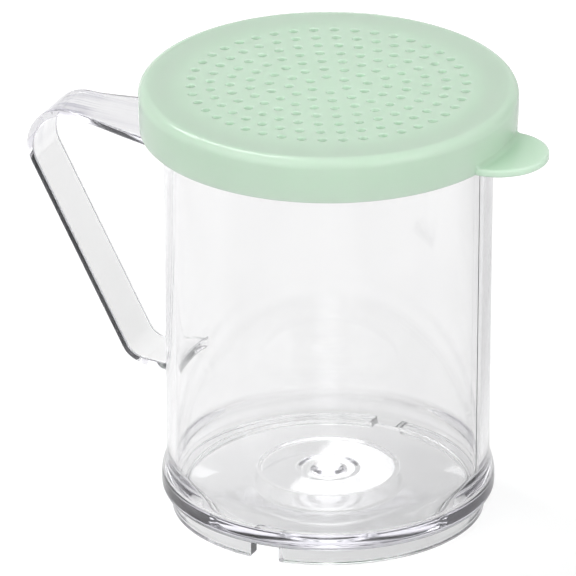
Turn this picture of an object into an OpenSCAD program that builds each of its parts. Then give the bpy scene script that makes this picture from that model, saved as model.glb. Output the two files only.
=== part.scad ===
// Handled shaker for spices: a clear moulded cup with a strap handle, and a
// soft perforated lid that snaps over the cup's rim and lifts off by its tab.
// Frame: millimetres, +Z up, origin at the centre of the foot on the surface
// that the cup stands on. The lid's tab points along +X, the handle along -X.

/* [Cup] */
// Height of the rim above the surface that the cup stands on
cup_h = 97.4; // [80:0.1:120]
// Outside diameter of the wall where it leaves the base bead
wall_d = 70.2; // [58:0.1:85]
// How much wider the wall's outside diameter is at the rim
wall_draft = 1.7; // [0:0.1:4]
// Thickness of the wall
wall_t = 2; // [1.6:0.1:3]

/* [Floor] */
// Height of the floor's underside
floor_z = 3.5; // [2.5:0.1:8]
// Thickness of the floor where it is highest, at the edge of its dish
floor_t = 5.2; // [4:0.1:8]
// How far the top of the floor falls from there to its inside corner
floor_fall = 1.7; // [0:0.1:2]
// Radius of the inside corner between the floor and the wall
floor_fillet = 0.9; // [0.5:0.1:3]
// Diameter of the shallow dish in the middle of the floor
dish_d = 31.4; // [20:0.2:50]
// Depth of the dish
dish_deep = 0.3; // [0.1:0.1:0.8]
// Diameter of the well in the middle of the dish
well_d = 14.2; // [10:0.2:18]
// Depth of the well below the dish
well_deep = 0.3; // [0.1:0.1:0.8]
// Width of the sloping edges of the dish and the well
dish_edge = 1.4; // [0.5:0.1:2.5]
// Diameter of the gate stub in the middle of the well
gate_d = 5.2; // [3:0.1:6]
// Height of the gate stub
gate_h = 0.8; // [0.1:0.1:1.2]

/* [Base bead and foot] */
// How far the base bead stands out from the wall
bead_out = 1.1; // [0.5:0.1:3]
// Radius of the curve under the bead
bead_under = 2.1; // [1:0.1:4]
// Height of the bead's widest band
bead_band = 1.8; // [0.5:0.1:4]
// Height of the curve that leads from the bead up to the wall
bead_ogee = 5.6; // [2:0.1:8]
// How far the foot ring stands in from the bead
foot_in = 2.2; // [1:0.1:4]
// Thickness of the foot ring
foot_t = 3; // [1.4:0.1:5]
// Height of the foot ring's straight side
foot_h = 3.8; // [3:0.1:6]
// Rounding of the foot ring's lower edges
foot_edge = 0.4; // [0.1:0.1:0.6]
// Radius of the fillet between the foot ring and the floor's underside
foot_root = 1.3; // [0.4:0.1:2]
// Width of each of the two drain notches in the foot ring
notch_w = 6.6; // [4:0.1:12]
// Height of the drain notches, which reach above the floor's underside so
// that none of the water under it stays behind
notch_h = 3.9; // [2:0.1:5]

/* [Rim] */
// How far the rim flange stands out from the wall
rim_out = 3.2; // [2.5:0.1:5]
// Height of the flange's edge
rim_t = 2.4; // [1.5:0.1:4]
// Radius of the cove under the flange
rim_cove = 2; // [0.5:0.1:2.2]
// Rounding of the rim's edges
rim_edge = 0.6; // [0.2:0.1:0.7]

/* [Handle] */
// Thickness of the strap
strap_t = 1.6; // [1.4:0.1:4]
// Width of the strap at the grip
strap_w = 12.6; // [10:0.1:22]
// Distance from the rim down to the top of the upper bend
handle_drop = 12.7; // [10:0.1:25]
// Height of the lowest point of the lower bend
handle_low_z = 27.8; // [16:0.1:36]
// How far the grip reaches out from the wall's foot
handle_reach = 33.9; // [25:0.1:45]
// How far the grip's lower corner stands out from the wall's foot
heel_reach = 9.6; // [7:0.1:16]
// Outside radius of the upper bend
top_bend_r = 9.4; // [5:0.1:14]
// Outside radius of the lower bend
low_bend_r = 6; // [4.5:0.1:10]
// Angle at which the two legs close on each other towards the wall
leg_tilt = 3; // [0:0.5:8]
// How much wider the strap is where its upper leg meets the wall
top_flare = 12.5; // [0:0.1:14]
// Length over which the upper leg narrows to the width of the grip
top_flare_len = 22; // [5:0.5:23]
// How much wider the strap is where its lower leg meets the wall
low_flare = 4.5; // [0:0.1:8]
// Length over which the lower leg narrows to the width of the grip
low_flare_len = 7; // [3:0.5:12]
// Hollow of the legs' spreading edges, where 1 makes them straight
flare_bow = 1.1; // [1:0.1:2]
// Radius of the fillets above and below each leg where it meets the wall
root_fillet = 0.8; // [0.4:0.1:3]

/* [Lid] */
// Height of the lid from the skirt's lower edge to the top
lid_h = 10.2; // [7:0.1:16]
// Thickness of the perforated top
lid_top_t = 1.6; // [1:0.1:2.5]
// Thickness of the skirt
skirt_t = 1.5; // [1:0.1:2.5]
// Clearance between the skirt and the rim flange
skirt_gap = 0.6; // [0.5:0.05:1]
// Rounding of the lid's top edge
lid_round = 2.2; // [0.5:0.1:2.8]
// How much narrower the skirt's outside radius is at its lower edge
skirt_tuck = 0.25; // [0:0.05:0.8]
// Rounding of the skirt's lower edge
skirt_edge = 0.4; // [0.1:0.05:0.5]
// Clearance between the snap bead and the rim flange
snap_gap = 0.2; // [0.1:0.05:0.4]
// Half the height of the snap bead
snap_half = 0.9; // [0.5:0.1:1.5]
// Height of the sealing rib that stands inside the cup's mouth
rib_h = 2.6; // [1:0.1:5]
// Thickness of the sealing rib
rib_t = 1.1; // [0.8:0.1:2]
// Clearance between the sealing rib and the cup's mouth
rib_gap = 0.3; // [0.1:0.05:1]

/* [Lid tab] */
// How far the lift tab stands out from the skirt
tab_out = 9.9; // [5:0.1:16]
// Radius of the tab's round end, which is half its width
tab_r = 11; // [8:0.1:16]
// Thickness of the tab
tab_t = 1.7; // [1.2:0.1:2.5]
// Rounding of the tab's edges
tab_edge = 0.5; // [0.1:0.1:0.7]

/* [Perforations] */
// Diameter of each shaking hole
hole_d = 1.9; // [1:0.1:3]
// Distance from one ring of holes to the next
hole_pitch = 4.27; // [3.5:0.01:8]
// Least distance from the middle of a hole to the sealing rib
hole_margin = 2; // [1.5:0.1:6]
// Holes in the innermost ring, and how many more each ring has than the last
hole_step = 6; // [4:1:7]

/* [Hidden] */

CLEAR = [0.90, 0.92, 0.95, 0.35];
MINT = [0.77, 0.88, 0.80];

ROUND = 180;          // sides of the large turned forms
CORNER = 6;           // straight pieces in a quarter of a rounded corner
CURVE = 12;           // straight pieces in a bend or a long curve
eps = 0.01;           // overlap that keeps joins and cuts clean
beyond = 20;          // how far a tool reaches past what it cuts

// Cup
wall_base_r = wall_d / 2;
wall_top_r = wall_base_r + wall_draft / 2;
bead_r = wall_base_r + bead_out;
bead_z = foot_h + bead_under;
ogee_z = bead_z + bead_band;
wall_z = ogee_z + bead_ogee;
function wall_r(z) = wall_base_r + (wall_top_r - wall_base_r) * (z - wall_z) / (cup_h - wall_z);
foot_r = bead_r - foot_in;
foot_inner_r = foot_r - foot_t;
bead_sweep = 80;      // degrees that the curve under the bead turns through
floor_top = floor_z + floor_t;
floor_edge_z = floor_top - floor_fall;
dish_z = floor_top - dish_deep;
well_z = dish_z - well_deep;
rim_r = wall_top_r + rim_out;
flange_z = cup_h - rim_t;
mouth_r = wall_top_r - wall_t;

// Handle
strap_top_z = cup_h - handle_drop;
bend_x = wall_base_r + handle_reach - top_bend_r;
bend_z = strap_top_z - top_bend_r;
heel_x = wall_base_r + heel_reach;
heel_span = norm([bend_x - heel_x, bend_z - handle_low_z]);
// slope of the grip: the line from its lower corner that just touches the upper bend
grip_slope = atan2(bend_z - handle_low_z, bend_x - heel_x) - asin(top_bend_r / heel_span);
grip_out = grip_slope - 90;
low_bend_x = heel_x - low_bend_r / tan(90 - grip_slope / 2);
low_bend_z = handle_low_z + low_bend_r;
strap_mid_z = (strap_top_z + handle_low_z) / 2;

// Lid: its underside lies on the rim
lid_top_z = cup_h + lid_top_t;
skirt_z = lid_top_z - lid_h;
skirt_inner_r = rim_r + skirt_gap;
lid_r = skirt_inner_r + skirt_t;
snap_r = rim_r + snap_gap;
snap_z = flange_z - snap_half;
rib_r = mouth_r - rib_gap;
rib_inner_r = rib_r - rib_t;
hole_rings = floor((rib_inner_r - hole_margin) / hole_pitch);

// Points of an arc about [x, z] between two angles in degrees
function arc(x, z, r, from, to, steps = CORNER) =
    [for (i = [0:steps]) let (a = from + (to - from) * i / steps) [x + r * cos(a), z + r * sin(a)]];

// Points of an S-shaped curve from one point to another, level at both ends
// where it lies down, or upright at both ends where it stands
function ease(t) = (1 - cos(180 * t)) / 2;
function level_curve(p, q, steps = CURVE) =
    [for (i = [0:steps]) let (t = i / steps) [p.x + (q.x - p.x) * t, p.y + (q.y - p.y) * ease(t)]];
function upright_curve(p, q, steps = CURVE) =
    [for (i = [0:steps]) let (t = i / steps) [p.x + (q.x - p.x) * ease(t), p.y + (q.y - p.y) * t]];

function backwards(points) = [for (i = [len(points) - 1:-1:0]) points[i]];

// Outside of the cup in half section, from the foot up to the rim's top
function cup_outside() = concat(
    arc(foot_inner_r + foot_edge, foot_edge, foot_edge, 180, 270),
    arc(foot_r - foot_edge, foot_edge, foot_edge, -90, 0),
    [[foot_r, foot_h]],
    arc(bead_r - bead_under, bead_z, bead_under, -bead_sweep, 0),
    upright_curve([bead_r, ogee_z], [wall_base_r, wall_z]),
    arc(wall_r(flange_z - rim_cove) + rim_cove, flange_z - rim_cove, rim_cove, 180, 90),
    arc(rim_r - rim_edge, flange_z + rim_edge, rim_edge, -90, 0),
    arc(rim_r - rim_edge, cup_h - rim_edge, rim_edge, 0, 90));

// Inside of the cup in half section, from the rim down to the middle of the floor
floor_edge_r = wall_r(floor_edge_z + floor_fillet) - wall_t - floor_fillet;
function sloping_edge(r, from_z, to_z) =
    level_curve([r, from_z], [r - dish_edge, to_z], CORNER);
function cup_inside() = concat(
    arc(mouth_r + rim_edge, cup_h - rim_edge, rim_edge, 90, 180),
    arc(floor_edge_r, floor_edge_z + floor_fillet, floor_fillet, 0, -90),
    sloping_edge(dish_d / 2, floor_top, dish_z),
    sloping_edge(well_d / 2, dish_z, well_z),
    level_curve([gate_d / 2 + gate_h * 2, well_z], [gate_d / 2, well_z + gate_h], CORNER),
    [[0, well_z + gate_h]]);

// Underside of the floor in half section, from its middle to the foot ring
function cup_underside() = concat(
    [[0, floor_z]],
    arc(foot_inner_r - foot_root, floor_z - foot_root, foot_root, 90, 0));

module cup_body() {
    color(CLEAR)
        difference() {
            rotate_extrude($fn = ROUND)
                polygon(concat(cup_outside(), cup_inside(), cup_underside()));
            for (side = [0, 180])
                rotate([0, 0, side])
                    translate([-notch_w / 2, foot_inner_r - foot_root, -beyond])
                        cube([notch_w, foot_root + foot_t * 2, beyond + notch_h]);
        }
}

// Heights of the two legs' outer faces at a distance x from the cup's axis,
// set in by depth
function top_leg_z(x, depth = 0) =
    bend_z + (top_bend_r - depth) / cos(leg_tilt) - (bend_x - x) * tan(leg_tilt);
function low_leg_z(x, depth = 0) =
    low_bend_z - (low_bend_r - depth) / cos(leg_tilt) + (low_bend_x - x) * tan(leg_tilt);

// One face of the strap from the side, from the upper leg's root round both
// bends to the lower leg's root, set in from the outer face by depth
function strap_face(depth) = concat(
    [[0, top_leg_z(0, depth)]],
    arc(bend_x, bend_z, top_bend_r - depth, 90 + leg_tilt, grip_out, CURVE),
    arc(low_bend_x, low_bend_z, low_bend_r - depth, grip_out, -90 - leg_tilt),
    [[0, low_leg_z(0, depth)]]);

// Strap from above: parallel along the grip, and spreading towards the wall
// with a slight hollow curve
module strap_plan(flare, length) {
    edge = concat(
        [[0, (strap_w + flare) / 2]],
        [for (i = [0:CURVE])
            let (t = i / CURVE)
            [wall_base_r + length * t, (strap_w + flare * pow(1 - t, flare_bow)) / 2]],
        [[wall_base_r + handle_reach + beyond, strap_w / 2]]);
    polygon(concat(edge, [for (p = backwards(edge)) [p.x, -p.y]]));
}

// Ring of the fillet between the wall and a face of a leg at height z, up is
// 1 above the leg and -1 below it. It reaches a little way into the leg
module root_ring(z, up) {
    r = wall_r(z);
    inside = z - up * strap_t / 3;
    rotate_extrude($fn = ROUND)
        polygon(concat(
            [[r - wall_t / 2, inside], [r - wall_t / 2, z + up * root_fillet]],
            arc(r + root_fillet, z + up * root_fillet, root_fillet, 180, 180 + up * 90),
            [[r + root_fillet, inside]]));
}

module leg(flare, length, top_z, low_z) {
    translate([0, 0, low_z]) linear_extrude(top_z - low_z) strap_plan(flare, length);
}

// The wall's outer cone, which the strap and its fillets end on
module wall_cone() {
    translate([0, 0, wall_z])
        cylinder(h = cup_h - wall_z, r1 = wall_base_r, r2 = wall_top_r, $fn = ROUND);
}

module cup_handle() {
    color(CLEAR)
        mirror([1, 0, 0])
            difference() {
                union() {
                    intersection() {
                        rotate([90, 0, 0])
                            linear_extrude(strap_w + top_flare + low_flare, center = true)
                                polygon(concat(strap_face(0), backwards(strap_face(strap_t))));
                        union() {
                            leg(top_flare, top_flare_len, strap_top_z + beyond, strap_mid_z);
                            leg(low_flare, low_flare_len, strap_mid_z, handle_low_z - beyond);
                        }
                    }
                    intersection() {
                        leg(top_flare, top_flare_len, strap_top_z + beyond, strap_mid_z);
                        union() {
                            root_ring(top_leg_z(wall_base_r), 1);
                            root_ring(top_leg_z(wall_base_r, strap_t), -1);
                        }
                    }
                    intersection() {
                        leg(low_flare, low_flare_len, strap_mid_z, handle_low_z - beyond);
                        union() {
                            root_ring(low_leg_z(wall_base_r, strap_t), 1);
                            root_ring(low_leg_z(wall_base_r), -1);
                        }
                    }
                }
                wall_cone();
            }
}

// The lid's shell in half section: up the outside of the skirt, over the top
// to the middle, then back along the underside, round the sealing rib and
// down the inside of the skirt past its snap bead
module lid_section() {
    bulge_top = lid_top_z - lid_round;
    skirt_low_r = lid_r - skirt_tuck;
    outside = concat(
        arc(skirt_low_r - skirt_edge, skirt_z + skirt_edge, skirt_edge, -90, 0),
        [for (i = [1:CORNER])
            let (t = i / CORNER)
            [lid_r - skirt_tuck * pow(1 - t, 2),
             skirt_z + skirt_edge + (bulge_top - skirt_z - skirt_edge) * t]],
        arc(lid_r - lid_round, bulge_top, lid_round, 0, 90));
    inside = concat(
        [[0, lid_top_z], [0, cup_h],
         [rib_inner_r, cup_h], [rib_inner_r, cup_h - rib_h],
         [rib_r - rib_t / 3, cup_h - rib_h], [rib_r, cup_h - rib_h + rib_t / 2],
         [rib_r, cup_h]],
        arc(skirt_inner_r - skirt_gap / 2, cup_h - skirt_gap / 2, skirt_gap / 2, 90, 0),
        [for (i = [0:CURVE])
            let (t = i / CURVE)
            [skirt_inner_r - (skirt_inner_r - snap_r) * (1 - cos(360 * t)) / 2,
             snap_z + snap_half * (1 - 2 * t)]],
        [[skirt_inner_r, skirt_z]]);
    polygon(concat(outside, inside));
}

// Lift tab: a round plate with eased edges, level with the skirt's lower edge
// and cut to stay outside the skirt's inner face
module lift_tab() {
    difference() {
        translate([lid_r + tab_out - tab_r, 0, skirt_z])
            rotate_extrude($fn = ROUND / 2)
                polygon(concat(
                    [[0, 0]],
                    arc(tab_r - tab_edge, tab_edge, tab_edge, -90, 0),
                    arc(tab_r - tab_edge, tab_t - tab_edge, tab_edge, 0, 90),
                    [[0, tab_t]]));
        translate([0, 0, skirt_z - beyond])
            cylinder(h = beyond * 2, r = skirt_inner_r + skirt_t / 2, $fn = ROUND);
    }
}

// Rings of holes, each ring with hole_step more holes than the one inside it
module shaking_holes() {
    for (ring = [1:hole_rings], i = [0:ring * hole_step - 1])
        rotate([0, 0, 360 * i / (ring * hole_step)])
            translate([ring * hole_pitch, 0, cup_h - eps])
                cylinder(h = lid_top_t + eps * 2, d = hole_d, $fn = 16);
}

module snap_lid() {
    color(MINT)
        difference() {
            union() {
                rotate_extrude($fn = ROUND) lid_section();
                lift_tab();
            }
            shaking_holes();
        }
}

cup_body();
cup_handle();
snap_lid();
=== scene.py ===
"""Looks of the handled spice shaker: a clear moulded cup and its mint press-on lid.

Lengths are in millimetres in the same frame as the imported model, and become
metres where a mesh is made.
"""

import math

import bmesh
import bpy
import numpy as np
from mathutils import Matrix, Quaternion, Vector


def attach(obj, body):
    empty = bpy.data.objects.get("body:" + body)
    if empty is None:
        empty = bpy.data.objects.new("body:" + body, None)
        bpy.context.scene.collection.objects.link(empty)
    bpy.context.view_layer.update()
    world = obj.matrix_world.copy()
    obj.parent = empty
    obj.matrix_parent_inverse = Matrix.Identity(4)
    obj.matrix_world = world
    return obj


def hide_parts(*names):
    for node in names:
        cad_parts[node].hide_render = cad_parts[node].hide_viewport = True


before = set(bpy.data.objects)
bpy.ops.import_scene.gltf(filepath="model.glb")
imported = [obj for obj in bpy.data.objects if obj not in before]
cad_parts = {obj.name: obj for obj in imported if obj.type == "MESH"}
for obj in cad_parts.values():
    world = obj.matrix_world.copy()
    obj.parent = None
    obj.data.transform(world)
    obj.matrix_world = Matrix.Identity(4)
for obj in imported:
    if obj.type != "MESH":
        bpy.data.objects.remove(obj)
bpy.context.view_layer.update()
scene = bpy.context.scene

MM = 0.001

# ---------------------------------------------------------------- sizes

# Cup
CUP_H = 97.4
WALL_Z = 13.3  # where the wall leaves the base bead
WALL_BASE_R = 35.1
WALL_TOP_R = 35.95
WALL_T = 2.0
FLOOR_Z = 3.5
FLOOR_TOP = 8.7
FLOOR_FALL = 1.7
FLOOR_FILLET = 0.9
DISH_R = 15.7
DISH_DEEP = 0.3
DISH_EDGE = 1.4
WELL_R = 7.1
WELL_DEEP = 0.3
GATE_R = 2.6
GATE_H = 0.8
BEAD_R = 36.2
BEAD_Z = 5.9
BEAD_UNDER = 2.1
OGEE_Z = 7.7
FOOT_R = 34.0
FOOT_INNER_R = 31.0
FOOT_H = 3.8
FOOT_EDGE = 0.4
FOOT_ROOT = 1.3
NOTCH_W = 6.6
NOTCH_H = 3.9
NOTCH_CORNER = 0.7
RIM_R = 39.15
RIM_T = 2.4
RIM_COVE = 2.0
RIM_EDGE = 0.6
PARTING_H = 0.07  # the mould's parting line stands this far out of the wall
PARTING_HALF_DEG = 0.22

# Handle
STRAP_T = 1.6
STRAP_W = 12.6
STRAP_EDGE = 0.28
BEND_X, BEND_Z, BEND_R = 59.6, 75.3, 9.4
LOW_X, LOW_Z, LOW_R = 41.116, 33.8, 6.0
GRIP_SLOPE = 61.7
LEG_TILT = 3.0
TOP_FLARE, TOP_FLARE_LEN = 12.5, 22.0
LOW_FLARE, LOW_FLARE_LEN = 4.5, 7.0
FLARE_BOW = 1.1
ROOT_FILLET = 0.8

# Lid
LID_TOP_Z = 99.0
LID_TOP_T = 1.6
LID_R = 41.25
SKIRT_Z = 88.8
SKIRT_T = 1.5
SKIRT_TUCK = 0.25
SKIRT_EDGE = 0.4
LID_ROUND = 2.2
SKIRT_GAP = 0.6
SNAP_R = 39.35
SNAP_Z = 94.1
SNAP_HALF = 0.9
RIB_R = 33.65
RIB_T = 1.1
RIB_H = 2.6
TAB_OUT = 9.9
TAB_R = 11.0
TAB_T = 1.7
TAB_EDGE = 0.5
TAB_ROOT = 1.2
HOLE_R = 0.95
HOLE_PITCH = 4.27
HOLE_RINGS = 7
HOLE_STEP = 6
HOLE_EASE = 0.16

TURNS = 256  # sides of the turned forms


# ---------------------------------------------------------------- sections


def arc(x, z, r, start, end, steps=10):
    """Points of an arc about (x, z) between two angles in degrees."""
    return [
        (x + r * math.cos(a), z + r * math.sin(a))
        for a in np.radians(np.linspace(start, end, steps + 1))
    ]


def ease(t):
    return (1 - math.cos(math.pi * t)) / 2


def level_curve(p, q, steps=18):
    """An S-shaped curve that is level at both ends."""
    return [
        (p[0] + (q[0] - p[0]) * t, p[1] + (q[1] - p[1]) * ease(t))
        for t in np.linspace(0, 1, steps + 1)
    ]


def upright_curve(p, q, steps=18):
    """An S-shaped curve that stands upright at both ends."""
    return [
        (p[0] + (q[0] - p[0]) * ease(t), p[1] + (q[1] - p[1]) * t)
        for t in np.linspace(0, 1, steps + 1)
    ]


def between(p, q, share):
    """The point that lies a share of the way from p to q."""
    return (p[0] + (q[0] - p[0]) * share, p[1] + (q[1] - p[1]) * share)


def line(p, q, steps):
    return [between(p, q, t) for t in np.linspace(0, 1, steps + 1)]


def without_repeats(points, least=1e-4):
    kept = [points[0]]
    for p in points[1:]:
        if math.dist(p, kept[-1]) > least:
            kept.append(p)
    return kept


def bends(points, k):
    """Whether a section turns by more than half a degree at point k."""
    if not 0 < k < len(points) - 1:
        return False
    (x0, z0), (x1, z1), (x2, z2) = points[k - 1 : k + 2]
    turn = math.atan2(z2 - z1, x2 - x1) - math.atan2(z1 - z0, x1 - x0)
    return abs(math.remainder(turn, 2 * math.pi)) > math.radians(0.5)


def held(points, near=0.1, least=0.5):
    """Adds a point close to each bend at the end of a straight run, so that
    smooth shading keeps the bend's curve off the run."""
    kept = [points[0]]
    for k, (p, q) in enumerate(zip(points, points[1:])):
        length = math.dist(p, q)
        if length > least:
            for end, share in ((k, near / length), (k + 1, 1 - near / length)):
                if bends(points, end):
                    kept.append(between(p, q, share))
        kept.append(q)
    return kept


def wall_r(z):
    return WALL_BASE_R + (WALL_TOP_R - WALL_BASE_R) * (z - WALL_Z) / (CUP_H - WALL_Z)


def cup_section():
    """Half section of the cup, from the middle of its underside round to the
    middle of its floor."""
    flange_z = CUP_H - RIM_T
    mouth_r = WALL_TOP_R - WALL_T
    cove_z = flange_z - RIM_COVE
    edge_z = FLOOR_TOP - FLOOR_FALL
    floor_edge = wall_r(edge_z + FLOOR_FILLET) - WALL_T - FLOOR_FILLET
    inner_foot = FOOT_INNER_R - FOOT_ROOT
    points = line((0, FLOOR_Z), (inner_foot, FLOOR_Z), 6)
    points += arc(inner_foot, FLOOR_Z - FOOT_ROOT, FOOT_ROOT, 90, 0)
    points += arc(FOOT_INNER_R + FOOT_EDGE, FOOT_EDGE, FOOT_EDGE, 180, 270, 6)
    points += arc(FOOT_R - FOOT_EDGE, FOOT_EDGE, FOOT_EDGE, -90, 0, 6)
    points += [(FOOT_R, FOOT_H)]
    points += arc(BEAD_R - BEAD_UNDER, BEAD_Z, BEAD_UNDER, -80, 0)
    points += upright_curve((BEAD_R, OGEE_Z), (WALL_BASE_R, WALL_Z))
    points += line((WALL_BASE_R, WALL_Z), (wall_r(cove_z), cove_z), 12)
    points += arc(wall_r(cove_z) + RIM_COVE, cove_z, RIM_COVE, 180, 90)
    points += arc(RIM_R - RIM_EDGE, flange_z + RIM_EDGE, RIM_EDGE, -90, 0, 6)
    points += arc(RIM_R - RIM_EDGE, CUP_H - RIM_EDGE, RIM_EDGE, 0, 90, 6)
    points += arc(mouth_r + RIM_EDGE, CUP_H - RIM_EDGE, RIM_EDGE, 90, 180, 6)
    points += line(
        (mouth_r, CUP_H - RIM_EDGE),
        (floor_edge + FLOOR_FILLET, edge_z + FLOOR_FILLET),
        12,
    )
    points += arc(floor_edge, edge_z + FLOOR_FILLET, FLOOR_FILLET, 0, -90, 14)
    dish_z = FLOOR_TOP - DISH_DEEP
    well_z = dish_z - WELL_DEEP
    points += line((floor_edge, edge_z), (DISH_R, FLOOR_TOP), 4)
    points += level_curve((DISH_R, FLOOR_TOP), (DISH_R - DISH_EDGE, dish_z), 10)
    points += line((DISH_R - DISH_EDGE, dish_z), (WELL_R, dish_z), 3)
    points += level_curve((WELL_R, dish_z), (WELL_R - DISH_EDGE, well_z), 10)
    points += level_curve((GATE_R + GATE_H * 2, well_z), (GATE_R, well_z + GATE_H), 8)
    points += [(0, well_z + GATE_H)]
    return held(without_repeats(points))


def lid_section():
    """Half section of the lid, from the middle of its underside round the rib,
    the snap bead and the skirt to the middle of its top."""
    rib_inner = RIB_R - RIB_T
    inner_r = LID_R - SKIRT_T
    shoulder_z = LID_TOP_Z - LID_ROUND
    low_r = LID_R - SKIRT_TUCK
    points = [(0, CUP_H)]
    points += line((0.5, CUP_H), (rib_inner - 0.2, CUP_H), 6)
    points += arc(rib_inner - 0.2, CUP_H - 0.2, 0.2, 90, 0, 4)
    points += line((rib_inner, CUP_H - 0.2), (rib_inner, CUP_H - RIB_H + 0.25), 2)
    points += arc(rib_inner + 0.25, CUP_H - RIB_H + 0.25, 0.25, 180, 270, 4)
    points += [(RIB_R - RIB_T / 3, CUP_H - RIB_H), (RIB_R, CUP_H - RIB_H + RIB_T / 2)]
    points += [(RIB_R, CUP_H)]
    points += arc(
        inner_r - SKIRT_GAP / 2, CUP_H - SKIRT_GAP / 2, SKIRT_GAP / 2, 90, 0, 5
    )
    points += [
        (
            inner_r - (inner_r - SNAP_R) * (1 - math.cos(2 * math.pi * t)) / 2,
            SNAP_Z + SNAP_HALF * (1 - 2 * t),
        )
        for t in np.linspace(0, 1, 17)
    ]
    points += line((inner_r, SNAP_Z - SNAP_HALF), (inner_r, SKIRT_Z + 0.15), 3)
    points += arc(inner_r + 0.15, SKIRT_Z + 0.15, 0.15, 180, 270, 3)
    points += arc(low_r - SKIRT_EDGE, SKIRT_Z + SKIRT_EDGE, SKIRT_EDGE, -90, 0, 6)
    side = shoulder_z - SKIRT_Z - SKIRT_EDGE
    points += [
        (LID_R - SKIRT_TUCK * (1 - t) ** 2, SKIRT_Z + SKIRT_EDGE + side * t)
        for t in np.linspace(0, 1, 9)
    ]
    points += arc(LID_R - LID_ROUND, shoulder_z, LID_ROUND, 0, 90, 12)
    points += line((LID_R - LID_ROUND, LID_TOP_Z), (0.5, LID_TOP_Z), 8)
    points += [(0, LID_TOP_Z)]
    return held(without_repeats(points))


# ---------------------------------------------------------------- meshes


def new_object(name, mesh):
    ob = bpy.data.objects.new(name, mesh)
    scene.collection.objects.link(ob)
    return ob


def mesh_from(name, vertices, faces):
    mesh = bpy.data.meshes.new(name)
    mesh.from_pydata([tuple(np.asarray(v) * MM) for v in vertices], [], faces)
    return mesh


def turned(name, section, angles, nudge=None):
    """Turns a section that starts and ends on the axis about Z. nudge(r, z, angle)
    gives a radius to use in place of r."""
    n = len(angles)
    rings = section[1:-1]
    vertices = [(0, 0, section[0][1]), (0, 0, section[-1][1])]
    for r, z in rings:
        for a in angles:
            here = nudge(r, z, a) if nudge else r
            vertices.append((here * math.cos(a), here * math.sin(a), z))
    faces = []
    last = 2 + (len(rings) - 1) * n
    for j in range(n):
        k = (j + 1) % n
        faces.append((0, 2 + k, 2 + j))
        faces.append((1, last + j, last + k))
        for i in range(len(rings) - 1):
            a, b = 2 + i * n, 2 + (i + 1) * n
            faces.append((a + j, a + k, b + k, b + j))
    return new_object(name, mesh_from(name, vertices, faces))


def extruded(name, outline, place):
    """A closed solid between two copies of an outline; place(p, side) gives the
    point of outline point p on side 0 or 1."""
    n = len(outline)
    vertices = [place(p, 0) for p in outline] + [place(p, 1) for p in outline]
    faces = [tuple(range(n)), tuple(range(2 * n - 1, n - 1, -1))]
    faces += [(i, n + i, n + (i + 1) % n, (i + 1) % n) for i in range(n)]
    ob = new_object(name, mesh_from(name, vertices, faces))
    outward(ob)
    return ob


def outward(ob):
    """Merges doubles, then points every face of a closed mesh outwards."""
    bm = bmesh.new()
    bm.from_mesh(ob.data)
    bmesh.ops.remove_doubles(bm, verts=bm.verts, dist=1e-7)
    bmesh.ops.recalc_face_normals(bm, faces=bm.faces)
    bm.to_mesh(ob.data)
    bm.free()


def evaluated_mesh(ob):
    """The object's mesh with its modifiers applied, which are then removed."""
    depsgraph = bpy.context.evaluated_depsgraph_get()
    mesh = bpy.data.meshes.new_from_object(ob.evaluated_get(depsgraph))
    ob.modifiers.clear()
    old, ob.data = ob.data, mesh
    bpy.data.meshes.remove(old)
    return mesh


def combined(ob, tool, operation):
    """Joins a tool to ob, or cuts it out of ob, and removes the tool."""
    cut = ob.modifiers.new("combine", "BOOLEAN")
    cut.operation, cut.object, cut.solver = operation, tool, "MANIFOLD"
    evaluated_mesh(ob)
    bpy.data.objects.remove(tool)


def finished(ob, material, body, slot, *nodes):
    """Smooths a piece, gives it its material and puts it in its nodes' place."""
    ob.data.shade_smooth()
    ob.data.set_sharp_from_angle(angle=math.radians(32))
    ob.data.materials.clear()
    ob.data.materials.append(material)
    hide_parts(*nodes)
    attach(ob, body)


# ---------------------------------------------------------------- the cup


def parting_line(r, z, angle):
    """Radius of the cup with the fine line that the mould's halves leave on
    the wall, opposite the handle."""
    on_wall = WALL_Z <= z <= CUP_H - RIM_T - RIM_COVE and r > wall_r(z) - 0.5
    near = 1 - abs(math.degrees(angle)) / PARTING_HALF_DEG
    return r + PARTING_H * max(0.0, near) if on_wall else r


def cup_turned():
    step = 360 / TURNS
    fine = [-0.66, -0.44, -PARTING_HALF_DEG, 0, PARTING_HALF_DEG, 0.44, 0.66]
    degrees = fine + [step * i for i in range(1, TURNS)]
    return turned("clear_cup", cup_section(), np.radians(degrees), parting_line)


def drain_notch(side):
    """Cutter for a drain notch through the foot ring, with eased corners."""
    half, c = NOTCH_W / 2, NOTCH_CORNER
    left = [(-half - c, -5)] + arc(-half - c, c, c, -90, 0, 6)
    left += arc(-half + c, NOTCH_H - c, c, 180, 90, 6)
    outline = left + [(-x, z) for x, z in reversed(left)]

    def place(p, end):
        return (p[0], side * (FOOT_INNER_R - FOOT_ROOT + end * 7.3), p[1])

    return extruded("notch", outline, place)


def strap_width(x):
    """Width of the strap at a distance x from the cup's axis on the upper leg,
    or on the lower leg where x is negative."""
    flare, length = (TOP_FLARE, TOP_FLARE_LEN) if x > 0 else (LOW_FLARE, LOW_FLARE_LEN)
    t = min(max((abs(x) - WALL_BASE_R) / length, 0), 1)
    return STRAP_W + flare * (1 - t) ** FLARE_BOW


def root_bulge(d):
    """How far the root fillet lifts a leg's face at a distance d from the wall."""
    if d >= ROOT_FILLET:
        return 0.0
    side = ROOT_FILLET - max(d, 0.0)
    return ROOT_FILLET - math.sqrt(max(ROOT_FILLET**2 - side**2, 0.0))


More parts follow.
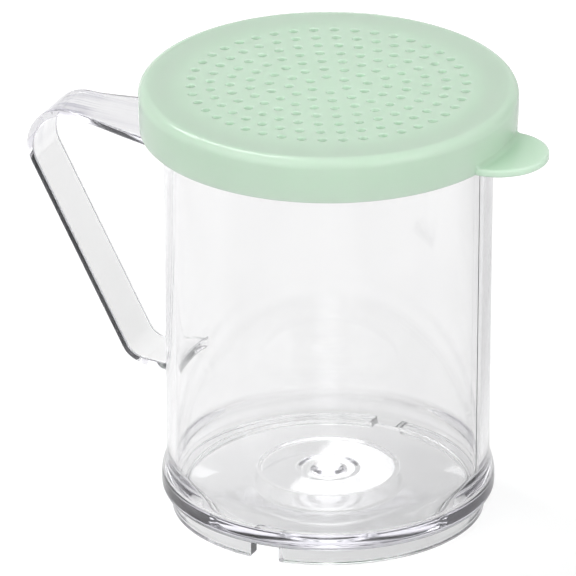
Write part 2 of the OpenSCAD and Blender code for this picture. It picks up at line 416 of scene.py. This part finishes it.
def strap_stations():
    """Stations along the strap from the upper root to the lower root: the outer
    and the inner point of its side view, the width, and whether the wall's
    curve still shapes it."""
    tan, cos = math.tan(math.radians(LEG_TILT)), math.cos(math.radians(LEG_TILT))
    near = [-1.0, -0.4, -0.03, 0.02, 0.07, 0.13, 0.2, 0.3, 0.42, 0.56, 0.72, 0.9, 1.3]
    near += [1.8, 2.4, 3.1, 4, 5]

    def top_z(x, depth):
        return BEND_Z + (BEND_R - depth) / cos - (BEND_X - x) * tan

    def low_z(x, depth):
        return LOW_Z - (LOW_R - depth) / cos + (LOW_X - x) * tan

    def leg(start, sign, z_at, more):
        return [
            {
                "x": start + d,
                "z": z_at,
                "width": strap_width(sign * (start + d)),
                "hold": 1 - ease(min(max((d - 2) / 9, 0), 1)),
            }
            for d in near + more
        ]

    def bend(x, z, r, start, end, steps, sign):
        outer = arc(x, z, r, start, end, steps)
        inner = arc(x, z, r - STRAP_T, start, end, steps)
        return [
            {"outer": o, "inner": i, "width": strap_width(sign * o[0])}
            for o, i in zip(outer, inner)
        ]

    top_wall = wall_r(top_z(WALL_TOP_R, STRAP_T / 2))
    low_wall = wall_r(low_z(WALL_BASE_R, STRAP_T / 2))
    down = GRIP_SLOPE - 90
    upper = leg(top_wall, 1, top_z, [6, 7.2, 8.5, 10, 12, 14, 16, 18, 20, 22, 23.2])
    lower = leg(low_wall, -1, low_z, [5.4])
    return (
        upper
        + bend(BEND_X, BEND_Z, BEND_R, 90 + LEG_TILT, down, 28, 1)
        + bend(LOW_X, LOW_Z, LOW_R, down, -90 - LEG_TILT, 16, -1)
        + lower[::-1]
    )


def strap_ring(station):
    """Points round the strap at a station, counted from the middle of one face."""
    half, e = station["width"] / 2, STRAP_EDGE
    across = np.linspace(-1, 1, 15)
    corner = np.radians(np.linspace(0, 90, 5))
    back = corner[::-1]
    flat = half - e
    # (distance across, share of the thickness from the inner face, edge offset)
    places = [(y * flat, 1.0, 0.0) for y in across]
    places += [(flat + e * math.sin(a), 1.0, -e + e * math.cos(a)) for a in corner[1:]]
    places += [(flat + e * math.sin(a), 0.0, e - e * math.cos(a)) for a in back]
    places += [(y * flat, 0.0, 0.0) for y in across[::-1][1:]]
    places += [(-flat - e * math.sin(a), 0.0, e - e * math.cos(a)) for a in corner[1:]]
    places += [(-flat - e * math.sin(a), 1.0, -e + e * math.cos(a)) for a in back]
    ring = []
    for y, share, offset in places[:-1]:
        if "z" in station:
            sag = WALL_TOP_R - math.sqrt(WALL_TOP_R**2 - y**2)
            x = station["x"] - sag * station["hold"]
            outer, inner = station["z"](x, 0), station["z"](x, STRAP_T)
            lift = root_bulge(math.hypot(x, y) - wall_r((outer + inner) / 2))
            up = math.copysign(1, outer - inner)
            z = inner + (outer - inner) * share + up * (lift * (2 * share - 1) + offset)
            ring.append((-x, y, z))
        else:
            (ox, oz), (ix, iz) = station["outer"], station["inner"]
            nx, nz = (ox - ix) / STRAP_T, (oz - iz) / STRAP_T
            x = ix + (ox - ix) * share + nx * offset
            ring.append((-x, y, iz + (oz - iz) * share + nz * offset))
    return ring


def strap():
    rings = [strap_ring(s) for s in strap_stations()]
    n = len(rings[0])
    vertices = [p for ring in rings for p in ring]
    last = len(vertices) - 1
    faces = [tuple(range(n)), tuple(range(last, last - n, -1))]
    for i in range(len(rings) - 1):
        a, b = i * n, (i + 1) * n
        faces += [(a + j, b + j, b + (j + 1) % n, a + (j + 1) % n) for j in range(n)]
    ob = new_object("strap", mesh_from("strap", vertices, faces))
    outward(ob)
    return ob


def clear_cup():
    cup = cup_turned()
    for side in (-1, 1):
        combined(cup, drain_notch(side), "DIFFERENCE")
    combined(cup, strap(), "UNION")
    return cup


# ---------------------------------------------------------------- node trees


class Socket:
    """A socket that takes part in Python arithmetic."""

    def __init__(self, tree, out):
        self.tree, self.out = tree, out

    def math(self, operation, *others):
        return self.tree.math(operation, self, *others)

    def __add__(self, other):
        return self.math("ADD", other)

    def __sub__(self, other):
        return self.math("SUBTRACT", other)

    def __rsub__(self, other):
        return self.tree.math("SUBTRACT", other, self)

    def __mul__(self, other):
        return self.math("MULTIPLY", other)

    def __truediv__(self, other):
        return self.math("DIVIDE", other)

    def __pow__(self, other):
        return self.math("POWER", other)

    __radd__ = __add__
    __rmul__ = __mul__

    def clamped(self):
        return self.tree.node("ShaderNodeClamp", {}, {"Value": self})

    def step(self, low, high):
        """0 below low, 1 above high, and a smooth rise between them."""
        return self.tree.node(
            "ShaderNodeMapRange",
            {"interpolation_type": "SMOOTHSTEP"},
            {"Value": self, "From Min": low, "From Max": high},
        )


class Tree:
    """A node tree that is written as Python expressions."""

    def __init__(self, tree):
        self.tree = tree
        tree.nodes.clear()

    def node(self, kind, settings=None, inputs=None, out=0):
        n = self.tree.nodes.new(kind)
        for key, value in (settings or {}).items():
            setattr(n, key, value)
        for key, value in (inputs or {}).items():
            if isinstance(value, Socket):
                self.tree.links.new(value.out, n.inputs[key])
            else:
                n.inputs[key].default_value = value
        return Socket(self, n.outputs[out]) if n.outputs else None

    def math(self, operation, *values):
        return self.node(
            "ShaderNodeMath", {"operation": operation}, dict(enumerate(values))
        )

    def mix(self, share, a, b):
        """A colour between a and b."""
        return self.node(
            "ShaderNodeMix",
            {"data_type": "RGBA"},
            {0: share, 6: _rgba(a), 7: _rgba(b)},
            out=2,
        )

    def noise(self, vector, scale, detail=3.0, rough=0.5):
        return self.node(
            "ShaderNodeTexNoise",
            {},
            {"Vector": vector, "Scale": scale, "Detail": detail, "Roughness": rough},
        )

    def stretched(self, vector, scale):
        return self.node(
            "ShaderNodeMapping", {}, {"Vector": vector, "Scale": scale}
        )

    def parts(self, vector):
        """The three parts of a vector."""
        n = self.tree.nodes.new("ShaderNodeSeparateXYZ")
        self.tree.links.new(vector.out, n.inputs[0])
        return [Socket(self, o) for o in n.outputs]

    def moved(self, geometry, position):
        return self.node(
            "GeometryNodeSetPosition", {}, {"Geometry": geometry, "Position": position}
        )

    def place(self):
        """Object coordinates, in metres."""
        return self.node("ShaderNodeTexCoord", out="Object")

    def path(self, name):
        return self.node("ShaderNodeLightPath", out=name)

    def through_or_off(self):
        """1 for light that a clear or a glossy surface passes on."""
        return (
            self.path("Is Glossy Ray") + self.path("Is Transmission Ray")
        ).clamped()

    def guided(self):
        """1 for light that was mirrored twice or more on its way, as it is along
        the inside of a clear floor or strap."""
        return self.path("Glossy Depth").math("GREATER_THAN", 1.5)

    def bump(self, height, strength, distance):
        return self.node(
            "ShaderNodeBump",
            {},
            {"Height": height, "Strength": strength, "Distance": distance},
        )


def _rgba(colour):
    return colour if isinstance(colour, Socket) else (*colour, 1)


def new_material(name):
    material = bpy.data.materials.new(name)
    material.use_nodes = True
    return material, Tree(material.node_tree)


# ---------------------------------------------------------------- finishes


POLYCARBONATE_IOR = 1.585
BODY_TINT, BODY_DENSITY = (0.62, 0.61, 0.66), 18.0
# colour of the painted shade along the handle's upper leg and bend
LEG_SHADE_TINT = (0.34, 0.33, 0.42)
LAMP_LIGHT_THROUGH = (0.93, 0.93, 0.93)  # share of a lamp's light that a wall lets by
# Ranges in metres over which the clear plastic's painted shade and its smoothness
# change
UPPER_LEG_OUT, UPPER_LEG_UP = (0.034, 0.038), (0.070, 0.078)  # the painted shade on the upper leg begins
BEND_OUT, BEND_UP = (0.053, 0.057), (0.079, 0.081)  # the painted shade darkens further at the bend
FLOOR_UP = (0.009, 0.014)  # the surface is smoother below
POLYETHYLENE_IOR = 1.5
WAVE_DEPTH = 0.0002


def clear_polycarbonate():
    """Clear moulded polycarbonate with faint waves left by the melt, handling scuffs
    and a slight lilac-grey body tint. Its colour carries painted shade: a streaked
    lilac-grey darkening along the handle's upper leg, much darker at the bend."""
    material, t = new_material("clear_polycarbonate")
    place = t.place()
    scuffs = t.noise(place, 900, 4, 0.62).step(0.55, 0.8)
    streaks = t.noise(t.stretched(place, (900, 900, 60)), 1.0, 3).step(0.5, 0.85)
    waves = t.noise(t.stretched(place, (60, 60, 18)), 1.0, 2)
    haze = t.noise(place, 70, 2).step(0.35, 0.8)
    x, _, z = t.parts(place)
    on_leg = (0 - x).step(*UPPER_LEG_OUT) * z.step(*UPPER_LEG_UP)
    at_bend = (0 - x).step(*BEND_OUT) * z.step(*BEND_UP)
    shade_streaks = t.noise(t.stretched(place, (22, 800, 22)), 1.0, 2).step(0.46, 0.66)
    # painted shade: the clear plastic's colour is darkened in streaks along the upper
    # leg, much more at the bend
    painted_leg_shade = on_leg * (0.13 + shade_streaks * (0.27 + at_bend * 0.60))
    calm = 0.2 + z.step(*FLOOR_UP) * 0.8
    body_colour = t.mix(haze * 0.5, (0.985, 0.985, 0.985), (0.965, 0.965, 0.967))
    surface = t.node(
        "ShaderNodeBsdfPrincipled",
        {},
        {
            "Base Color": t.mix(painted_leg_shade, body_colour, LEG_SHADE_TINT),
            "Roughness": 0.015 + scuffs * 0.05 + streaks * 0.03 + haze * 0.02,
            "IOR": POLYCARBONATE_IOR,
            "Transmission Weight": 1.0,
            "Normal": t.bump(waves * calm, 0.25, WAVE_DEPTH),
        },
    )
    lamp_light = t.node(
        "ShaderNodeBsdfTransparent", {}, {"Color": (*LAMP_LIGHT_THROUGH, 1)}
    )
    mixed = t.node(
        "ShaderNodeMixShader",
        {},
        {0: t.path("Is Shadow Ray"), 1: surface, 2: lamp_light},
    )
    body = t.node(
        "ShaderNodeVolumeAbsorption",
        {},
        {"Color": (*BODY_TINT, 1), "Density": BODY_DENSITY},
    )
    t.node("ShaderNodeOutputMaterial", {}, {"Surface": mixed, "Volume": body})
    return material


def mint_polyethylene():
    """Mint polyethylene with a satin moulded skin, slightly translucent."""
    material, t = new_material("mint_polyethylene")
    place = t.place()
    cloud = t.noise(place, 45, 3)
    grain = t.noise(place, 5200, 3, 0.6)
    waves = t.noise(place, 38, 2)
    rub = t.noise(place, 620, 4, 0.65).step(0.5, 0.78)
    surface = t.node(
        "ShaderNodeBsdfPrincipled",
        {},
        {
            "Base Color": t.mix(cloud, (0.500, 0.705, 0.522), (0.530, 0.730, 0.552)),
            "Roughness": 0.13 + cloud * 0.03 + rub * 0.03,
            "IOR": POLYETHYLENE_IOR,
            "Specular IOR Level": 0.4,
            "Subsurface Weight": 0.85,
            "Subsurface Radius": (0.9, 1.1, 0.95),
            "Subsurface Scale": 0.006,
            "Normal": t.bump(waves * 0.93 + grain * 0.07, 0.3, WAVE_DEPTH),
        },
    )
    t.node("ShaderNodeOutputMaterial", {}, {"Surface": surface})
    return material


# ---------------------------------------------------------------- the lid


def geometry_tree(name, inputs):
    """A geometry node tree with a Geometry input, named inputs and its values."""
    tree = bpy.data.node_groups.new(name, "GeometryNodeTree")
    tree.is_modifier = True
    side = tree.interface
    side.new_socket("Geometry", in_out="INPUT", socket_type="NodeSocketGeometry")
    ids = {}
    for label, (kind, value) in inputs.items():
        socket = side.new_socket(label, in_out="INPUT", socket_type=kind)
        if value is not None:
            socket.default_value = value
        ids[label] = socket.identifier
    side.new_socket("Geometry", in_out="OUTPUT", socket_type="NodeSocketGeometry")
    return tree, ids


def perforations(lid, material):
    """Cuts the rings of shaking holes through the lid's top. Each ring has
    "More per ring" holes more than the ring inside it."""
    values = {
        "Rings": ("NodeSocketInt", HOLE_RINGS),
        "More per ring": ("NodeSocketInt", HOLE_STEP),
        "Ring pitch": ("NodeSocketFloat", HOLE_PITCH * MM),
        "Hole radius": ("NodeSocketFloat", HOLE_R * MM),
        "Eased edge": ("NodeSocketFloat", HOLE_EASE * MM),
        "Plate": ("NodeSocketFloat", LID_TOP_T * MM),
        "Middle height": ("NodeSocketFloat", (LID_TOP_Z - LID_TOP_T / 2) * MM),
        "Material": ("NodeSocketMaterial", None),
    }
    tree, ids = geometry_tree("shaking_holes", values)
    t = Tree(tree)
    given = {
        label: t.node("NodeGroupInput", out=label) for label in ["Geometry", *values]
    }
    step, rings = given["More per ring"], given["Rings"]
    count = step * rings * (rings + 1) * 0.5
    points = t.node("GeometryNodePoints", {}, {"Count": count})
    index = t.node("GeometryNodeInputIndex")
    ring = ((1 + (1 + 8 * (index / step)) ** 0.5) * 0.5 + 1e-4).math("FLOOR")
    first = step * ring * (ring - 1) * 0.5
    angle = (index - first) / (step * ring) * (2 * math.pi)
    reach = ring * given["Ring pitch"]
    spot = t.node(
        "ShaderNodeCombineXYZ",
        {},
        {
            "X": reach * angle.math("COSINE"),
            "Y": reach * angle.math("SINE"),
            "Z": given["Middle height"],
        },
    )
    points = t.moved(points, spot)
    # A punch of four rings: the outer two are spread to ease the hole's edges
    beyond = 0.5 * MM
    deep = given["Plate"] + 2 * beyond
    punch = t.node(
        "GeometryNodeMeshCylinder",
        {},
        {
            "Vertices": 20,
            "Side Segments": 3,
            "Radius": given["Hole radius"],
            "Depth": deep,
        },
    )
    x, y, z = t.parts(t.node("GeometryNodeInputPosition"))
    end = z.math("ABSOLUTE").math("GREATER_THAN", deep * 0.4)
    spread = 1 + end * (given["Eased edge"] + beyond) / given["Hole radius"]
    level = z.math("SIGN") * (
        end * deep * 0.5 + (1 - end) * (given["Plate"] * 0.5 - given["Eased edge"])
    )
    shaped = t.node(
        "ShaderNodeCombineXYZ", {}, {"X": x * spread, "Y": y * spread, "Z": level}
    )
    punch = t.moved(punch, shaped)
    punches = t.node(
        "GeometryNodeInstanceOnPoints", {}, {"Points": points, "Instance": punch}
    )
    punches = t.node("GeometryNodeRealizeInstances", {}, {"Geometry": punches})
    cut = t.node(
        "GeometryNodeMeshBoolean",
        {"operation": "DIFFERENCE", "solver": "MANIFOLD"},
        {"Mesh 1": given["Geometry"], "Mesh 2": punches},
    )
    done = t.node("GeometryNodeRealizeInstances", {}, {"Geometry": cut})
    done = t.node(
        "GeometryNodeSetMaterial", {}, {"Geometry": done, "Material": given["Material"]}
    )
    t.node("NodeGroupOutput", {}, {"Geometry": done})
    modifier = lid.modifiers.new("shaking_holes", "NODES")
    modifier.node_group = tree
    for label, (_, value) in values.items():
        modifier[ids[label]] = material if label == "Material" else value
    evaluated_mesh(lid)


def lift_tab():
    """The round lift tab, thickened where it runs into the skirt."""
    centre = LID_R + TAB_OUT - TAB_R
    section = [(0, 0), (2, 0), (4, 0), (6, 0), (8, 0)]
    section += arc(TAB_R - TAB_EDGE, TAB_EDGE, TAB_EDGE, -90, 0, 6)
    section += arc(TAB_R - TAB_EDGE, TAB_T - TAB_EDGE, TAB_EDGE, 0, 90, 6)
    section += [(r, TAB_T) for r in np.linspace(TAB_R - TAB_EDGE - 0.4, 0, 28)]
    round_tab = np.radians(np.arange(0, 360, 2))
    tab = turned("tab", section, round_tab)
    for v in tab.data.vertices:
        x, y, z = v.co.x / MM + centre, v.co.y / MM, v.co.z / MM
        if z > TAB_T / 2:
            d = math.hypot(x, y) - (LID_R - SKIRT_TUCK)
            side = TAB_ROOT - max(d, 0.0)
            if side > 0:
                z += TAB_ROOT - math.sqrt(TAB_ROOT**2 - side**2)
        v.co = Vector((x, y, z + SKIRT_Z)) * MM
    core = LID_R - SKIRT_T * 0.5
    section = [(0, SKIRT_Z - 5), (core, SKIRT_Z - 5), (core, LID_TOP_Z), (0, LID_TOP_Z)]
    combined(tab, turned("core", section, round_tab), "DIFFERENCE")
    return tab


def mint_lid(material):
    angles = np.radians(np.arange(TURNS) * 360 / TURNS)
    lid = turned("mint_lid", lid_section(), angles)
    combined(lid, lift_tab(), "UNION")
    perforations(lid, material)
    return lid


# ---------------------------------------------------------------- build

polycarbonate = clear_polycarbonate()
polyethylene = mint_polyethylene()

finished(clear_cup(), polycarbonate, "cup", "clear", "cup_body", "cup_handle")
finished(mint_lid(polyethylene), polyethylene, "lid", "lid", "snap_lid")

# ---------------------------------------------------------------- studio

CAMERA_AZIMUTH, CAMERA_ELEVATION = 24.0, 24.0
CAMERA_AIM = Vector((-8.0, -3.56, 50.76)) * MM
CAMERA_LENS = 1650.0
FRAME_WIDTH = 0.12503  # what the frame spans at the point aimed at
BACKDROP = (-0.4067, 0.9135)  # level direction from the object to the backdrop
AMBIENT = 0.34  # the world's light on plain surfaces
FRONT_LIGHT = 1.2  # what it adds from low in front
GUIDED_DIM = 0.82  # how far the world dims for guided light, but for the lane
GUIDED_TINT = (0.93, 0.91, 1.0)
LANE_LIGHT = 2.2  # what the world adds for guided light in the lane
LANE_WIDTH = (0.07, 0.18)  # slopes at which the lane to both ends of the room fades
TABLE_RADIUS = 9.0
TABLE_DROP = 0.00005  # keeps the table clear of the foot
TABLE_PAINT = 0.8
TABLE_GLOW = 0.35  # what the camera sees on top of the lit paint
CLEAR_GLOW = 0.22  # what clear walls see on top of it
LANE_GLOW = 0.8  # a painted glow that guided light sees on top of it in the lane
MIDDLE, DISH = (0, 0, 0.06), (0, 0, 0.0084)  # where the lamps are aimed
LAMPS = {
    # name: (right, ahead, up), (width, height), radiance, turn, aimed at
    "soft_box_left": ((-0.85, -1.0, 0.85), (1.2, 0.9), 1.2, 0.0, MIDDLE),
    "soft_box_right": ((1.05, -0.90, 0.85), (1.2, 0.9), 1.8, 0.0, MIDDLE),
    "soft_box_high": ((-0.51, 0.55, 1.36), (0.28, 1.1), 8.0, 0.0, MIDDLE),
    "strip_light": ((0.005, 0.3554, 0.1736), (0.036, 0.020), 3.0, 38.4, DISH),
}


def make_camera():
    data = bpy.data.cameras.new("camera")
    data.lens, data.sensor_width = CAMERA_LENS, 36.0
    data.clip_start, data.clip_end = 0.1, 60.0
    camera = bpy.data.objects.new("camera", data)
    scene.collection.objects.link(camera)
    a, e = math.radians(CAMERA_AZIMUTH), math.radians(CAMERA_ELEVATION)
    back = Vector((math.sin(a) * math.cos(e), -math.cos(a) * math.cos(e), math.sin(e)))
    camera.location = CAMERA_AIM + back * (FRAME_WIDTH * CAMERA_LENS / 36.0)
    camera.rotation_mode = "QUATERNION"
    camera.rotation_quaternion = (-back).to_track_quat("-Z", "Y")
    scene.camera = camera


def in_room(right, ahead, up):
    """A place in metres from its parts as the camera sees them on the table."""
    return Vector(
        (
            right * BACKDROP[1] + ahead * BACKDROP[0],
            ahead * BACKDROP[1] - right * BACKDROP[0],
            up,
        )
    )


def make_lamp(name, place, size, radiance, turn, aim):
    """A soft box of size (width, height) at place that faces aim and is turned
    by some degrees about its own axis."""
    data = bpy.data.lights.new(name, "AREA")
    data.shape, data.size, data.size_y = "RECTANGLE", size[0], size[1]
    data.energy = radiance * math.pi * size[0] * size[1]
    lamp = bpy.data.objects.new(name, data)
    scene.collection.objects.link(lamp)
    lamp.location = place
    toward = (Vector(aim) - place).to_track_quat("-Z", "Y")
    lamp.rotation_mode = "QUATERNION"
    lamp.rotation_quaternion = toward @ Quaternion((0, 0, 1), math.radians(turn))


def level_parts(t, vector):
    """How far a vector points towards the backdrop, and to the right of that."""
    x, y, z = t.parts(vector)
    ahead = x * BACKDROP[0] + y * BACKDROP[1]
    right = x * BACKDROP[1] - y * BACKDROP[0]
    return ahead, right, z


def middle(ahead, right, least):
    """1 in the lane straight behind and in front of the object, 0 beside it.
    least keeps the lane some width at the object."""
    beyond = ahead.math("ABSOLUTE") + least
    return 1 - (right.math("ABSOLUTE") / beyond).step(*LANE_WIDTH)


def make_floor():
    """A pale floor that shows white round the object and keeps its shadow. By
    reflection or through clear walls it carries a painted shadow beneath the object and
    painted shade to its right and in front of it. In the lane it gives a painted glow
    to guided light."""
    bm = bmesh.new()
    bmesh.ops.create_circle(bm, cap_ends=True, segments=96, radius=TABLE_RADIUS)
    mesh = bpy.data.meshes.new("floor")
    bm.to_mesh(mesh)
    bm.free()
    floor = new_object("floor", mesh)
    floor.location.z = -TABLE_DROP
    material, t = new_material("pale_table")
    x, y, _ = t.parts(t.place())
    ahead, right, _ = level_parts(t, t.place())
    # painted shadow beneath the object and painted shade to its right and in front,
    # seen only by reflection or through clear walls
    under = 1 - ((x * x + y * y) ** 0.5).step(0.038, 0.056)
    painted_shade = 1 - under * (0.12 + right.step(-0.030, 0.030) * 0.02)
    painted_shade = painted_shade * (1 - right.step(0.038, 0.080) * 0.25)
    painted_shade = painted_shade * (1 - ahead.step(-0.036, -0.090) * 0.26)
    lane = t.guided() * middle(ahead, right, 0.03)
    camera = t.path("Is Camera Ray")
    shade = camera + (1 - camera) * painted_shade
    paint = t.node(
        "ShaderNodeBsdfDiffuse",
        {},
        {"Color": t.mix(shade, (0, 0, 0), (TABLE_PAINT,) * 3)},
    )
    clear = t.through_or_off()
    # the floor's emission: white for the camera, and a painted glow in the lane for
    # guided light
    lift = camera * TABLE_GLOW + clear * (painted_shade * CLEAR_GLOW + lane * LANE_GLOW)
    glow = t.node(
        "ShaderNodeEmission", {}, {"Color": t.mix(lift, (0, 0, 0), (1, 1, 1))}
    )
    both = t.node("ShaderNodeAddShader", {}, {0: paint, 1: glow})
    t.node("ShaderNodeOutputMaterial", {}, {"Surface": both})
    floor.data.materials.append(material)


def make_world():
    """White all round for the camera and a soft light from all round for plain
    surfaces, stronger in front. Clear and glossy ones see a bright backdrop
    behind the object, a lit left side and a dark right side, all of it dimmed
    for guided light but for a bright lane."""
    world = bpy.data.worlds.new("studio")
    world.use_nodes = True
    scene.world = world
    t = Tree(world.node_tree)
    ahead, right, up = level_parts(t, t.node("ShaderNodeTexCoord", out="Generated"))
    behind = ahead.step(0.70, 0.90)
    side = 0.80 - right.step(-0.4, 0.6) * 0.65
    low = side + behind * (1.0 - side)
    high = 0.65 - right.step(-0.6, 0.6) * 0.30 + up.step(0.35, 0.85) * 0.30
    high = high + ahead.step(0.6, 0.95) * 0.25
    level = low + up.step(0.12, 0.40) * (high - low)
    lane = middle(ahead, right, 0.05)
    dim = t.guided() * (1 - lane)
    level = level * (1 - dim * GUIDED_DIM + t.guided() * lane * LANE_LIGHT)
    front = (0 - ahead).step(-0.3, 0.4) * (1 - up.step(0.45, 0.85))
    camera = t.path("Is Camera Ray")
    clear = t.through_or_off()
    around = clear * level + (1 - clear) * (AMBIENT + front * FRONT_LIGHT)
    glow = t.node(
        "ShaderNodeBackground",
        {},
        {
            "Color": t.mix(dim, (1, 1, 1), GUIDED_TINT),
            "Strength": camera + (1 - camera) * around,
        },
    )
    t.node("ShaderNodeOutputWorld", {}, {"Surface": glow})


make_camera()
make_floor()
make_world()
for lamp_name, (spot, size, radiance, turn, aim) in LAMPS.items():
    make_lamp(lamp_name, in_room(*spot), size, radiance, turn, aim)

scene.view_settings.view_transform = "Standard"
scene.cycles.max_bounces = 32
scene.cycles.transmission_bounces = 20
scene.cycles.glossy_bounces = 20
scene.cycles.transparent_max_bounces = 24
